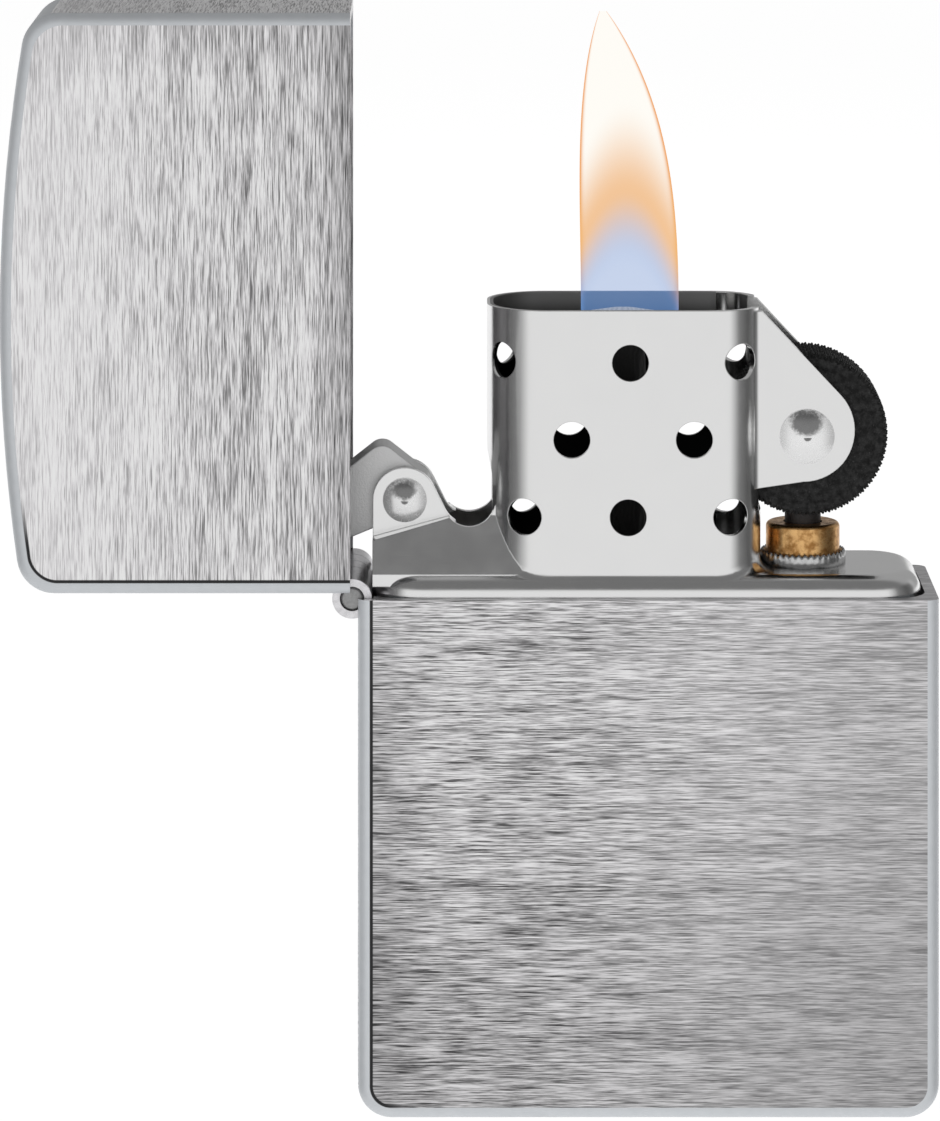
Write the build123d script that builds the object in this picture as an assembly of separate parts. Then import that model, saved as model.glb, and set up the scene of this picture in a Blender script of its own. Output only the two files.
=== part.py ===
"""Flip-top petrol lighter: case, lid and hinge, the insert with its wick,
packing, flint gear, wheel and lid cam.

Millimetres. Origin: centre of the case's underside. +X points to the wheel
side, +Y to the back, +Z up. The lid is modelled closed and then opened 90
degrees, which is the rest pose.
"""
from build123d import *
from math import asin, atan2, cos, degrees, hypot, radians, sin, sqrt
import os

os.makedirs("parts", exist_ok=True)

# --- driving dimensions: case and lid -----------------------------------
CASE_W = 38.1
CASE_D = 13.0
BODY_H = 34.0
LID_H = 23.0
SEAM = 0.08
WALL = 0.75
FOOT_R = 2.2          # lower corners of the case outline
LID_CORNER_R = 2.5    # upper corners of the lid outline
DOME_R = 111.0        # crown of the lid
DOME_APEX_X = -1.0
BAND_R = 0.8          # rounded rim between the faces and the sides
CAVITY_R = 2.4        # plan corners inside case and lid

# --- hinge ----------------------------------------------------------------
HINGE_X = -19.43
HINGE_Z = 33.96
PIN_R = 0.75
KNUCKLE_R = 1.30
KNUCKLE_BORE_R = 0.80
KNUCKLES = 5
KNUCKLE_GAP = 0.10
HINGE_L = 11.4
HINGE_NOTCH_R = 1.42
LEAF_T = 0.40
LEAF_RECESS = 0.35
LEAF_L = 10.5         # along the case height
LEAF_FIT = 0.01
LID_OPEN_DEG = 90.0

# --- insert: tank and chimney ----------------------------------------------
TANK_W = 36.2
TANK_D = 11.3
TANK_R = 3.2
TANK_BOTTOM = 1.55
DECK_Z = 35.35
DECK_EDGE_R = 1.3
SHEET = 0.45
CHIMNEY_X0 = -10.55
CHIMNEY_X1 = 7.54
CHIMNEY_D = 9.9
CHIMNEY_R = 4.0
WHEEL_SIDE_R = 3.0    # tighter corners next to the wheel
CHIMNEY_TOP = 52.73
CHIMNEY_SHEET = 0.42
SHOULDER_R = 0.8      # hollow where the chimney meets the deck
HOLE_R = 1.2
HOLE_Z = (49.3, 44.25, 39.15)
# x and z of the holes in the flat faces
FLAT_HOLES = ((-1.15, HOLE_Z[0]), (-5.0, HOLE_Z[1]), (3.05, HOLE_Z[1]), (-1.3, HOLE_Z[2]))
# side, degrees round the corner and z of the holes in the rounded corners
CORNER_HOLES = ((-1, 50, HOLE_Z[0]), (1, 34, HOLE_Z[0]), (-1, 24, HOLE_Z[2]), (1, 19, HOLE_Z[2]))

# --- cam bracket, on the hinge side ---------------------------------------
CAM_X = -16.0
CAM_Z = 39.85
CAM_EAR_R = 2.12
CAM_EAR_Y = 2.15      # outer face of each ear
BRACKET_Y = 3.0       # outer face of the bracket's sloping wall, at its top
BRACKET_TOP = 39.0
FOOT_Y = 4.75         # outer face of that wall where it meets the deck
LEDGE_A = (-18.1, 37.45)
LEDGE_B = (-13.3, 38.75)
NOTCH_X = -11.75
NOTCH_Z = 40.0
NOTCH_R = 1.75
CAM_T = 3.0
CAM_BORE_R = 0.66
CAM_PIN_R = 0.60
CAM_HEAD_R = 1.45

# --- wheel bracket ---------------------------------------------------------
WHEEL_X = 10.55
WHEEL_Z = 44.25
WHEEL_R = 5.4
WHEEL_W = 5.4
WHEEL_TEETH = 72
TOOTH_H = 0.22
WHEEL_EAR_Y = 3.4
WHEEL_EAR_R = 3.4
EAR_X = 10.3          # centre of the ear's rounded end
EAR_Z = 44.65
EAR_TOP = (7.58, 52.5)
JOIN_R = 0.7          # hollow where an ear leaves the rounded corner
AXLE_R = 1.0
AXLE_HEAD_R = 1.8
WHEEL_BORE_R = 1.06
SIDE_OPENING_Z = 39.3

# --- flint gear ---------------------------------------------------------------
FLINT_X = 10.45
TUBE_R = 2.45
TUBE_BORE_R = 1.30
TUBE_TOP = 38.1
TUBE_RIM_R = 0.3
TUBE_BOTTOM = 3.0
COLLAR_R = 2.85
COLLAR_H = 1.0
FLINT_R = 1.2
FLINT_L = 5.0
FLINT_GAP = 0.07      # between flint and wheel
SCREW_R = 1.88
SCREW_BORE_R = 1.95
SCREW_TOP = 8.5
SCREW_HEAD_R = 3.1
SCREW_HEAD_H = 1.05
SPRING_R = 0.90
SPRING_WIRE_R = 0.14
SPRING_PITCH = 1.15
NUB_R = 0.55

# --- wick, packing and felt ------------------------------------------------------
WICK_X = -1.5
WICK_R = 1.6
WICK_TOP = 52.3
WICK_BOTTOM = 8.0
WADS = 5
PACKING_BOTTOM = 4.8
PACKING_TOP = 33.6
FELT_BOTTOM = 1.9
FELT_T = 2.4
SOFT_GAP = 0.3

PLATE_Z = 35.5
PLATE_T = 0.4
CUT = 60.0            # longer than anything it cuts


def write(shape, node):
    """Write one sub-part to its own STEP file."""
    shape.label = node
    export_step(shape, "parts/" + node + ".step")


def block(x0, x1, y0, y1, z0, z1):
    """An upright box from its two corners."""
    return Pos((x0 + x1) / 2, (y0 + y1) / 2, (z0 + z1) / 2) * Box(x1 - x0, y1 - y0, z1 - z0)


def post(x, y, z0, z1, radius):
    """An upright cylinder."""
    return Pos(x, y, (z0 + z1) / 2) * Cylinder(radius, z1 - z0)


def rod(x, z, y0, y1, radius):
    """A cylinder that lies along Y."""
    return Pos(x, (y0 + y1) / 2, z) * Rot(90, 0, 0) * Cylinder(radius, y1 - y0)


def rounded_post(x0, x1, depth, radius, z0, z1):
    """An upright rounded rectangle, centred on y = 0."""
    face = Plane.XY.offset(z0) * Pos((x0 + x1) / 2, 0) * RectangleRounded(x1 - x0, depth, radius)
    return extrude(face, amount=z1 - z0)


def side_plate(outline, y0, y1):
    """A plate between y0 and y1 whose outline is a closed wire list in X and Z."""
    face = make_face(outline)
    return extrude(Pos(0, y0, 0) * face, amount=y1 - y0, dir=(0, 1, 0))


def both_sides(plate):
    """The plate and its mirror image through the plane y = 0."""
    return plate + mirror(plate, about=Plane.XZ)


def at(x, z):
    """A point of an X, Z outline."""
    return Vector(x, 0, z)


def on_circle(x, z, radius, angle):
    """The point at an angle in degrees on a circle in the X, Z plane."""
    return at(x + radius * cos(radians(angle)), z + radius * sin(radians(angle)))


# --- case and lid --------------------------------------------------------
def case_outline(half_w, z0, z1, radius):
    """Outline of the case: square at the top, rounded at its two lower corners."""
    k = radius * (1 - cos(radians(45)))
    return [
        Line(at(-half_w, z1), at(-half_w, z0 + radius)),
        ThreePointArc(at(-half_w, z0 + radius), at(-half_w + k, z0 + k), at(-half_w + radius, z0)),
        Line(at(-half_w + radius, z0), at(half_w - radius, z0)),
        ThreePointArc(at(half_w - radius, z0), at(half_w - k, z0 + k), at(half_w, z0 + radius)),
        Line(at(half_w, z0 + radius), at(half_w, z1)),
        Line(at(half_w, z1), at(-half_w, z1)),
    ]


def crown_z(x, top, radius):
    """Height of the lid's crown at x."""
    return top - radius + (radius**2 - (x - DOME_APEX_X)**2)**0.5


def lid_solid(half_w, half_d, z0, top, corner_r, dome_r):
    """A solid with the lid's crowned outline."""
    left = crown_z(-half_w, top, dome_r)
    right = crown_z(half_w, top, dome_r)
    outline = [
        Line(at(-half_w, z0), at(half_w, z0)),
        Line(at(half_w, z0), at(half_w, right)),
        ThreePointArc(at(half_w, right), at(DOME_APEX_X, top), at(-half_w, left)),
        Line(at(-half_w, left), at(-half_w, z0)),
    ]
    solid = side_plate(outline, -half_d, half_d)
    corners = solid.edges().filter_by(Axis.Y).filter_by(lambda e: e.center().Z > z0 + 1)
    return fillet(corners, corner_r)


def rim_edges(solid, open_z):
    """Outline edges of the front and back faces, without those of the open end."""
    face_y = CASE_D / 2
    flat = solid.edges().filter_by(lambda e: abs(abs(e.center().Y) - face_y) < 1e-3)
    flat = flat.filter_by(lambda e: e.bounding_box().size.Y < 1e-3)
    return flat.filter_by(lambda e: abs(e.center().Z - open_z) > 1e-3)


def rounded_cavity(solid):
    """The cavity with its four plan corners rounded."""
    half_w = CASE_W / 2 - WALL
    return solid & rounded_post(-half_w, half_w, CASE_D - 2 * WALL, CAVITY_R, 0, 2 * CUT)


def hinge_notch():
    """Room for the barrel in the side wall, between the front and back walls."""
    half = CASE_D / 2 - WALL
    return rod(HINGE_X, HINGE_Z, -half, half, HINGE_NOTCH_R)


def leaf_seat(z0, z1):
    """Shallow seat for a hinge leaf in the inside of the wall."""
    inner = -CASE_W / 2 + WALL
    half = HINGE_L / 2 - 0.6 + LEAF_FIT
    return block(inner - LEAF_RECESS, inner + 0.5, -half, half, z0, z1)


def build_case_shell():
    solid = side_plate(case_outline(CASE_W / 2, 0, BODY_H, FOOT_R), -CASE_D / 2, CASE_D / 2)
    solid = fillet(rim_edges(solid, BODY_H), BAND_R)
    half_w = CASE_W / 2 - WALL
    half_d = CASE_D / 2 - WALL
    cavity = side_plate(case_outline(half_w, WALL, BODY_H + 5, FOOT_R - WALL), -half_d, half_d)
    cavity = rounded_cavity(cavity)
    return solid - cavity - hinge_notch() - leaf_seat(BODY_H - LEAF_L - LEAF_FIT, BODY_H + 1)


def build_lid_shell():
    z0 = BODY_H + SEAM
    top = z0 + LID_H
    solid = lid_solid(CASE_W / 2, CASE_D / 2, z0, top, LID_CORNER_R, DOME_R)
    solid = fillet(rim_edges(solid, z0), BAND_R)
    half_w = CASE_W / 2 - WALL
    half_d = CASE_D / 2 - WALL
    cavity = lid_solid(half_w, half_d, z0 - 5, top - WALL, LID_CORNER_R - WALL, DOME_R - WALL)
    cavity = rounded_cavity(cavity)
    return solid - cavity - hinge_notch() - leaf_seat(z0 - 1, z0 + LEAF_L + LEAF_FIT)


# --- hinge -----------------------------------------------------------------
def knuckle_span(index):
    """Front and back ends of one knuckle."""
    length = (HINGE_L - (KNUCKLES - 1) * KNUCKLE_GAP) / KNUCKLES
    start = -HINGE_L / 2 + index * (length + KNUCKLE_GAP)
    return start, start + length


def build_leaf(own, z0, z1):
    """A leaf plate with its own knuckles, cut back beside the other leaf's."""
    outer = -CASE_W / 2 + WALL - LEAF_RECESS + LEAF_FIT
    half = HINGE_L / 2 - 0.6
    leaf = block(outer, outer + LEAF_T, -half, half, z0, z1)
    for index in range(KNUCKLES):
        y0, y1 = knuckle_span(index)
        if index in own:
            leaf += rod(HINGE_X, HINGE_Z, y0, y1, KNUCKLE_R)
        else:
            leaf -= rod(HINGE_X, HINGE_Z, y0 - KNUCKLE_GAP, y1 + KNUCKLE_GAP, HINGE_NOTCH_R)
    leaf -= rod(HINGE_X, HINGE_Z, -HINGE_L, HINGE_L, KNUCKLE_BORE_R)
    return leaf


def build_hinge_pin():
    pin = rod(HINGE_X, HINGE_Z, -HINGE_L / 2, HINGE_L / 2, PIN_R)
    return chamfer(pin.edges().filter_by(GeomType.CIRCLE), 0.12)


def opened(part):
    """Swing a part of the closed lid to the open rest pose."""
    return part.rotate(Axis((HINGE_X, 0, HINGE_Z), (0, -1, 0)), LID_OPEN_DEG)


# --- insert ----------------------------------------------------------------
def tank_solid(inset, z0, z1, edge_r):
    """The tank's outside or, with an inset, its inside."""
    half = TANK_W / 2 - inset
    solid = rounded_post(-half, half, TANK_D - 2 * inset, TANK_R - inset, z0, z1)
    top = solid.faces().sort_by(Axis.Z)[-1]
    return fillet(top.edges(), edge_r)


def chimney_solid(inset, z0, z1):
    """The chimney's outside or, with an inset, its inside."""
    half = CHIMNEY_D / 2 - inset
    solid = block(CHIMNEY_X0 + inset, CHIMNEY_X1 - inset, -half, half, z0, z1)
    upright = solid.edges().filter_by(Axis.Z).sort_by(Axis.X)
    solid = fillet(upright[:2], CHIMNEY_R - inset)
    upright = solid.edges().filter_by(Axis.Z).sort_by(Axis.X)
    return fillet(upright[-2:], WHEEL_SIDE_R - inset)


def bracket_outline():
    """Side view of the cam bracket: ear, sloping edge, round notch, chimney."""
    gap = hypot(NOTCH_X - CAM_X, NOTCH_Z - CAM_Z)
    heading = degrees(atan2(NOTCH_Z - CAM_Z, NOTCH_X - CAM_X))
    swing = 90 - degrees(asin((CAM_EAR_R + NOTCH_R) / gap))
    leave = heading + swing
    left = CAM_X - CAM_EAR_R
    base = DECK_Z - 0.8
    right = CHIMNEY_X0 + 2.6
    ear_end = on_circle(CAM_X, CAM_Z, CAM_EAR_R, leave)
    notch_start = on_circle(NOTCH_X, NOTCH_Z, NOTCH_R, leave + 180)
    notch_end = on_circle(NOTCH_X, NOTCH_Z, NOTCH_R, 0)
    ear_mid = on_circle(CAM_X, CAM_Z, CAM_EAR_R, (180 + leave) / 2)
    notch_mid = on_circle(NOTCH_X, NOTCH_Z, NOTCH_R, (leave + 180 + 360) / 2)
    return [
        Line(at(left, base), at(left, CAM_Z)),
        ThreePointArc(at(left, CAM_Z), ear_mid, ear_end),
        Line(ear_end, notch_start),
        ThreePointArc(notch_start, notch_mid, notch_end),
        Line(notch_end, at(right, NOTCH_Z)),
        Line(at(right, NOTCH_Z), at(right, base)),
        Line(at(right, base), at(left, base)),
    ]


def below_ledge(drop):
    """Everything under the ledge's sloping line, lowered by drop."""
    slope = (LEDGE_B[1] - LEDGE_A[1]) / (LEDGE_B[0] - LEDGE_A[0])
    x0 = LEDGE_A[0] - 5
    x1 = LEDGE_B[0] + 6
    z0 = LEDGE_A[1] - 5 * slope - drop
    z1 = LEDGE_B[1] + 6 * slope - drop
    corners = [at(x0, z0), at(x1, z1), at(x1, 0), at(x0, 0)]
    outline = [Line(a, b) for a, b in zip(corners, corners[1:] + corners[:1])]
    return side_plate(outline, -10, 10)


def bracket_envelope(inset):
    """A tent-shaped prism along X: the outside or, with an inset, the inside of the walls."""
    foot_z = DECK_Z - 0.8
    foot_y = FOOT_Y - inset
    top_y = BRACKET_Y - inset
    corners = [
        Vector(0, -foot_y, foot_z), Vector(0, foot_y, foot_z), Vector(0, foot_y, DECK_Z),
        Vector(0, top_y, BRACKET_TOP), Vector(0, top_y, BRACKET_TOP + 5),
        Vector(0, -top_y, BRACKET_TOP + 5), Vector(0, -top_y, BRACKET_TOP), Vector(0, -foot_y, DECK_Z),
    ]
    edges = [Line(a, b) for a, b in zip(corners, corners[1:] + corners[:1])]
    return extrude(Pos(-TANK_W, 0, 0) * make_face(edges), amount=2 * TANK_W, dir=(1, 0, 0))


def cam_bracket():
    """Two leaning walls that step inwards at a sloping ledge and end in round ears."""
    outline = bracket_outline()
    side = side_plate(outline, -FOOT_Y, FOOT_Y)
    outside = bracket_envelope(0) & side & below_ledge(0)
    walls = outside - bracket_envelope(SHEET)
    ledge = outside - below_ledge(SHEET)
    ears = side - below_ledge(SHEET)
    ears = ears & block(-CUT, CUT, -CAM_EAR_Y, CAM_EAR_Y, 0, CUT)
    slot = CAM_EAR_Y - SHEET
    bracket = walls + ledge + ears
    bracket -= block(-CUT, CHIMNEY_X0 + 3, -slot, slot, LEDGE_A[1] - 2, CUT)
    bracket -= chimney_solid(CHIMNEY_SHEET, DECK_Z - 3, CHIMNEY_TOP)
    return bracket - rod(CAM_X, CAM_Z, -9, 9, CAM_PIN_R + 0.02)


def wheel_bracket():
    """Two ears that carry the wheel's axle on the chimney's open side."""
    start_x = CHIMNEY_X1 - 0.65
    top = at(*EAR_TOP)
    reach = hypot(EAR_X - top.X, EAR_Z - top.Z)
    heading = degrees(atan2(top.Z - EAR_Z, top.X - EAR_X))
    leave = heading - 90 + degrees(asin(WHEEL_EAR_R / reach))
    ear_end = on_circle(EAR_X, EAR_Z, WHEEL_EAR_R, leave)
    ear_mid = on_circle(EAR_X, EAR_Z, WHEEL_EAR_R, (leave - 90) / 2)
    ear_low = on_circle(EAR_X, EAR_Z, WHEEL_EAR_R, -90)
    low = at(start_x, EAR_Z - WHEEL_EAR_R - 0.5)
    outline = [
        Line(at(start_x, top.Z), top),
        Line(top, ear_end),
        ThreePointArc(ear_end, ear_mid, ear_low),
        Line(ear_low, low),
        Line(low, at(start_x, top.Z)),
    ]
    ear = side_plate(outline, -WHEEL_EAR_Y, -WHEEL_EAR_Y + SHEET)
    ear += ear_join() & side_plate(outline, -CHIMNEY_D, 0)
    return both_sides(ear) - rod(WHEEL_X, WHEEL_Z, -9, 9, AXLE_R + 0.02)


def ear_join():
    """The hollow bend between the chimney's rounded corner and an ear, full height."""
    corner = Vector(CHIMNEY_X1 - WHEEL_SIDE_R, -CHIMNEY_D / 2 + WHEEL_SIDE_R)
    fall = corner.Y + WHEEL_EAR_Y + JOIN_R
    run = sqrt((WHEEL_SIDE_R + JOIN_R) ** 2 - fall**2)
    centre = corner + Vector(run, -fall)
    on_corner = corner + Vector(run, -fall) * (WHEEL_SIDE_R / (WHEEL_SIDE_R + JOIN_R))
    on_ear = centre + Vector(0, JOIN_R)
    middle = centre + ((on_corner - centre) + (on_ear - centre)).normalized() * JOIN_R
    inside_y = -WHEEL_EAR_Y + SHEET / 2
    back = [Vector(on_ear.X, inside_y), Vector(on_corner.X - 0.1, inside_y)]
    edges = [ThreePointArc(on_corner, middle, on_ear), Line(on_ear, back[0]),
             Line(back[0], back[1]), Line(back[1], on_corner)]
    return extrude(Pos(0, 0, DECK_Z) * make_face(edges), amount=CHIMNEY_TOP - DECK_Z, dir=(0, 0, 1))


def corner_hole(side, angle, z):
    """A hole square to the rounded corner, that many degrees round it."""
    radius = WHEEL_SIDE_R if side > 0 else CHIMNEY_R
    corner_x = CHIMNEY_X1 - radius if side > 0 else CHIMNEY_X0 + radius
    corner_y = -CHIMNEY_D / 2 + radius
    return Pos(corner_x, corner_y, z) * Rot(0, 0, side * angle) * rod(0, 0, -6, -2, HOLE_R)


def chimney_holes():
    """The wind holes through the front and back of the chimney."""
    flat = [rod(x, z, -9, 9, HOLE_R) for x, z in FLAT_HOLES]
    corners = [corner_hole(*hole) for hole in CORNER_HOLES]
    return Part() + flat + corners + [mirror(hole, about=Plane.XZ) for hole in corners]


def cam_side_opening():
    """The arch in the chimney's side, towards the cam."""
    half = BRACKET_Y - SHEET
    arch = post(0, 0, -2, 2, half)
    arch = Pos(CHIMNEY_X0, 0, 41.0) * Rot(0, 90, 0) * arch
    return arch + block(CHIMNEY_X0 - 2, CHIMNEY_X0 + 2, -half, half, DECK_Z - 1, 41.0)


def wheel_side_opening():
    """The slot in the chimney's side that lets the wheel in, open at the top."""
    half = WHEEL_EAR_Y - SHEET
    return block(CHIMNEY_X1 - 1.6, CHIMNEY_X1 + 1, -half, half, SIDE_OPENING_Z, CHIMNEY_TOP + 1)


def chimney_foot(solid):
    """The edges where the chimney stands on the deck."""
    low = solid.edges().filter_by(lambda e: DECK_Z - 0.5 < e.bounding_box().min.Z)
    low = low.filter_by(lambda e: e.bounding_box().max.Z < DECK_Z + 0.1)
    box = (CHIMNEY_X1 - CHIMNEY_X0) / 2 + 0.1
    middle = (CHIMNEY_X0 + CHIMNEY_X1) / 2
    return low.filter_by(lambda e: abs(e.center().X - middle) < box)


def build_insert_shell():
    outside = tank_solid(0, TANK_BOTTOM, DECK_Z, DECK_EDGE_R)
    outside += chimney_solid(0, DECK_Z - 3, CHIMNEY_TOP)
    outside = fillet(chimney_foot(outside), SHOULDER_R)
    inner_r = DECK_EDGE_R - SHEET
    shell = outside - tank_solid(SHEET, TANK_BOTTOM - 1, DECK_Z - SHEET, inner_r)
    shell -= chimney_solid(CHIMNEY_SHEET, DECK_Z - 3, CHIMNEY_TOP + 1)
    shell = shell - cam_side_opening() - wheel_side_opening()
    channel = BRACKET_Y - SHEET
    shell -= block(CAM_X - 1.4, CHIMNEY_X0 + 1, -channel, channel, DECK_Z - 1, DECK_Z + 1)
    shell = shell + cam_bracket() + wheel_bracket() - chimney_holes()
    shell -= post(FLINT_X, 0, DECK_Z, DECK_Z + 2, COLLAR_R + 0.02)
    return shell - post(FLINT_X, 0, DECK_Z - 2, DECK_Z + 1, TUBE_R + 0.02)


def build_deck_plate():
    """Inner plate at the foot of the chimney; the wick and cam spring fix here."""
    gap = CHIMNEY_SHEET + 0.03
    plate = chimney_solid(gap, PLATE_Z, PLATE_Z + PLATE_T)
    plate -= post(WICK_X, 0, PLATE_Z - 1, PLATE_Z + 1, WICK_R + 0.05)
    return plate - post(SPRING_RIVET_X, 0, PLATE_Z - 1, PLATE_Z + 1, SPRING_RIVET_R + 0.02)


# --- cam, its spring and rivets -------------------------------------------------
CAM_LEFT = -3.95
SPRING_T = 0.25
SPRING_HALF_W = 1.4
SPRING_RIVET_X = -7.6
SPRING_RIVET_R = 0.5


def build_cam():
    """The cam plate: a rounded diamond with a flat that bears on the lid."""
    points = [
        (-1.52, 3.75), (CAM_LEFT, 1.85), (CAM_LEFT, -2.75), (-1.2, -1.6), (1.3, -1.45),
        (1.95, 0.4), (1.5, 1.4),
    ]
    corners = [at(CAM_X + x, CAM_Z + z) for x, z in points]
    outline = [Line(a, b) for a, b in zip(corners, corners[1:] + corners[:1])]
    cam = side_plate(outline, -CAM_T / 2, CAM_T / 2)
    across = cam.edges().filter_by(Axis.Y)
    crown = across.sort_by(Axis.Z)[-1]
    cam = fillet(crown, 1.0)
    sharp = cam.edges().filter_by(Axis.Y).filter_by(lambda e: e.center().Z < CAM_Z + 3)
    cam = fillet(sharp, 0.35)
    return cam - rod(CAM_X, CAM_Z, -CAM_T, CAM_T, CAM_BORE_R)


def build_cam_spring():
    """Leaf spring from the chimney's foot to the underside of the cam."""
    z0 = PLATE_Z + PLATE_T + 0.02
    path = [
        at(SPRING_RIVET_X + 1.4, z0), at(-11.6, z0), at(-13.4, z0 + 0.5), at(-15.3, 37.35),
    ]
    line = Polyline(*path)
    centre = fillet(line.vertices().filter_by(lambda v: -15 < v.X < -8), 1.0)
    face = make_face(list(offset_strip(centre, SPRING_T)))
    leaf = extrude(Pos(0, -SPRING_HALF_W, 0) * face, amount=2 * SPRING_HALF_W, dir=(0, 1, 0))
    return leaf - post(SPRING_RIVET_X, 0, 30, 40, SPRING_RIVET_R + 0.02)


def offset_strip(wire, thickness):
    """Edges of the closed strip between a wire and its copy, thickness higher."""
    upper = Pos(0, 0, thickness) * wire
    yield from wire.edges()
    yield from upper.edges()
    yield Line(wire @ 0, upper @ 0)
    yield Line(wire @ 1, upper @ 1)


def dome_head(radius, height):
    """A low dome with a short straight rim, flat side on z = 0."""
    rim = 0.15
    rise = height - rim
    ball_r = (radius**2 + rise**2) / (2 * rise)
    ball = Pos(0, 0, rim + rise - ball_r) * Sphere(ball_r)
    cap = ball & block(-radius, radius, -radius, radius, 0, height + 1)
    return cap & post(0, 0, 0, height + 1, radius)


def rivet(x, z, shank_r, half_length, head_r, head_h):
    """A rivet along Y with a domed head at each end."""
    head = dome_head(head_r, head_h)
    front = Pos(x, -half_length, z) * Rot(90, 0, 0) * head
    back = Pos(x, half_length, z) * Rot(-90, 0, 0) * head
    return rod(x, z, -half_length, half_length, shank_r) + front + back


def build_cam_spring_rivet():
    z0 = PLATE_Z + PLATE_T + SPRING_T + 0.04
    head = Pos(SPRING_RIVET_X, 0, z0) * dome_head(0.95, 0.5)
    return head + post(SPRING_RIVET_X, 0, PLATE_Z - 0.1, z0, SPRING_RIVET_R)


# --- wheel -----------------------------------------------------------------------
def build_flint_wheel():
    """The toothed wheel, with a bevel on both rims."""
    tooth = 360 / WHEEL_TEETH
    points = []
    for index in range(WHEEL_TEETH):
        angle = index * tooth
        points.append(on_circle(0, 0, WHEEL_R, angle))
        points.append(on_circle(0, 0, WHEEL_R - TOOTH_H, angle + tooth / 2))
    points = [point + at(WHEEL_X, WHEEL_Z) for point in points]
    outline = [Line(a, b) for a, b in zip(points, points[1:] + points[:1])]
    wheel = side_plate(outline, -WHEEL_W / 2, WHEEL_W / 2)
    bevel = 0.35
    half = WHEEL_W / 2
    envelope = Pos(WHEEL_X, 0, WHEEL_Z) * Rot(90, 0, 0) * chamfer(
        Cylinder(WHEEL_R + 0.01, 2 * half).edges().filter_by(GeomType.CIRCLE), bevel)
    return (wheel & envelope) - rod(WHEEL_X, WHEEL_Z, -half, half, WHEEL_BORE_R)


# --- flint gear ----------------------------------------------------------------------
def build_flint_tube():
    tube = post(FLINT_X, 0, TUBE_BOTTOM, TUBE_TOP, TUBE_R)
    rim = tube.faces().sort_by(Axis.Z)[-1].edges()
    tube = fillet(rim, TUBE_RIM_R)
    tube -= post(FLINT_X, 0, 0, TUBE_TOP + 1, TUBE_BORE_R)
    return tube - post(FLINT_X, 0, 0, SCREW_TOP + 0.5, SCREW_BORE_R)


def build_tube_collar():
    z0 = DECK_Z + 0.01
    collar = post(FLINT_X, 0, z0, z0 + COLLAR_H, COLLAR_R)
    rim = collar.faces().sort_by(Axis.Z)[-1].edges()
    collar = fillet(rim, 0.2)
    return collar - post(FLINT_X, 0, z0 - 1, z0 + 3, TUBE_R + 0.01)


FLINT_TOP = WHEEL_Z - WHEEL_R - FLINT_GAP
TIP_TOP = FLINT_TOP - FLINT_L - 0.02
TIP_H = 2.0
SPRING_Z0 = SCREW_TOP + 0.02 + SPRING_WIRE_R
SPRING_Z1 = TIP_TOP - TIP_H - 0.02 - SPRING_WIRE_R


def build_flint():
    return post(FLINT_X, 0, FLINT_TOP - FLINT_L, FLINT_TOP, FLINT_R)


def build_spring_tip():
    tip = post(FLINT_X, 0, TIP_TOP - TIP_H, TIP_TOP, FLINT_R - 0.05)
    return tip + post(FLINT_X, 0, TIP_TOP - TIP_H - 1.2, TIP_TOP - TIP_H, NUB_R)


def build_flint_spring():
    """The coil spring between the screw and the tip."""
    path = Helix(SPRING_PITCH, SPRING_Z1 - SPRING_Z0, SPRING_R)
    section = Plane(origin=path @ 0, z_dir=path % 0) * Circle(SPRING_WIRE_R)
    return Pos(FLINT_X, 0, SPRING_Z0) * sweep(section, path=path)


def build_flint_screw():
    head_z0 = TUBE_BOTTOM - 0.02 - SCREW_HEAD_H
    screw = post(FLINT_X, 0, head_z0, head_z0 + SCREW_HEAD_H, SCREW_HEAD_R)
    screw += post(FLINT_X, 0, head_z0, SCREW_TOP, SCREW_R)
    screw += post(FLINT_X, 0, SCREW_TOP, SCREW_TOP + 1.2, NUB_R)
    slot = 0.45
    return screw - block(FLINT_X - 4, FLINT_X + 4, -slot, slot, head_z0 - 1, head_z0 + 0.55)


# --- soft parts --------------------------------------------------------------------------
def build_wick():
    wick = post(WICK_X, 0, WICK_BOTTOM, WICK_TOP, WICK_R)
    return fillet(wick.faces().sort_by(Axis.Z)[-1].edges(), 0.5)


def tank_filling(z0, z1, edge_r):
    """A soft block that fills the tank, with room for the flint tube."""
    inset = SHEET + SOFT_GAP
    half = TANK_W / 2 - inset
    filling = rounded_post(-half, half, TANK_D - 2 * inset, TANK_R - inset, z0, z1)
    flat = filling.faces().filter_by(Axis.Z).edges()
    return fillet(flat, edge_r)


def build_cotton_packing():
    """Wads of cotton stacked in the tank, around the wick and the flint tube."""
    step = (PACKING_TOP - PACKING_BOTTOM) / WADS
    wads = []
    for index in range(WADS):
        z0 = PACKING_BOTTOM + index * step
        wad = tank_filling(z0, z0 + step - SOFT_GAP, 1.2)
        wad -= post(FLINT_X, 0, 0, CUT, TUBE_R + SOFT_GAP)
        wad -= post(WICK_X, 0, WICK_BOTTOM - SOFT_GAP, CUT, WICK_R + SOFT_GAP)
        wads.append(wad)
    return Compound(children=wads)


def build_felt_pad():
    pad = tank_filling(FELT_BOTTOM, FELT_BOTTOM + FELT_T, 0.3)
    return pad - post(FLINT_X, 0, 0, CUT, SCREW_HEAD_R + SOFT_GAP)


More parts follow.
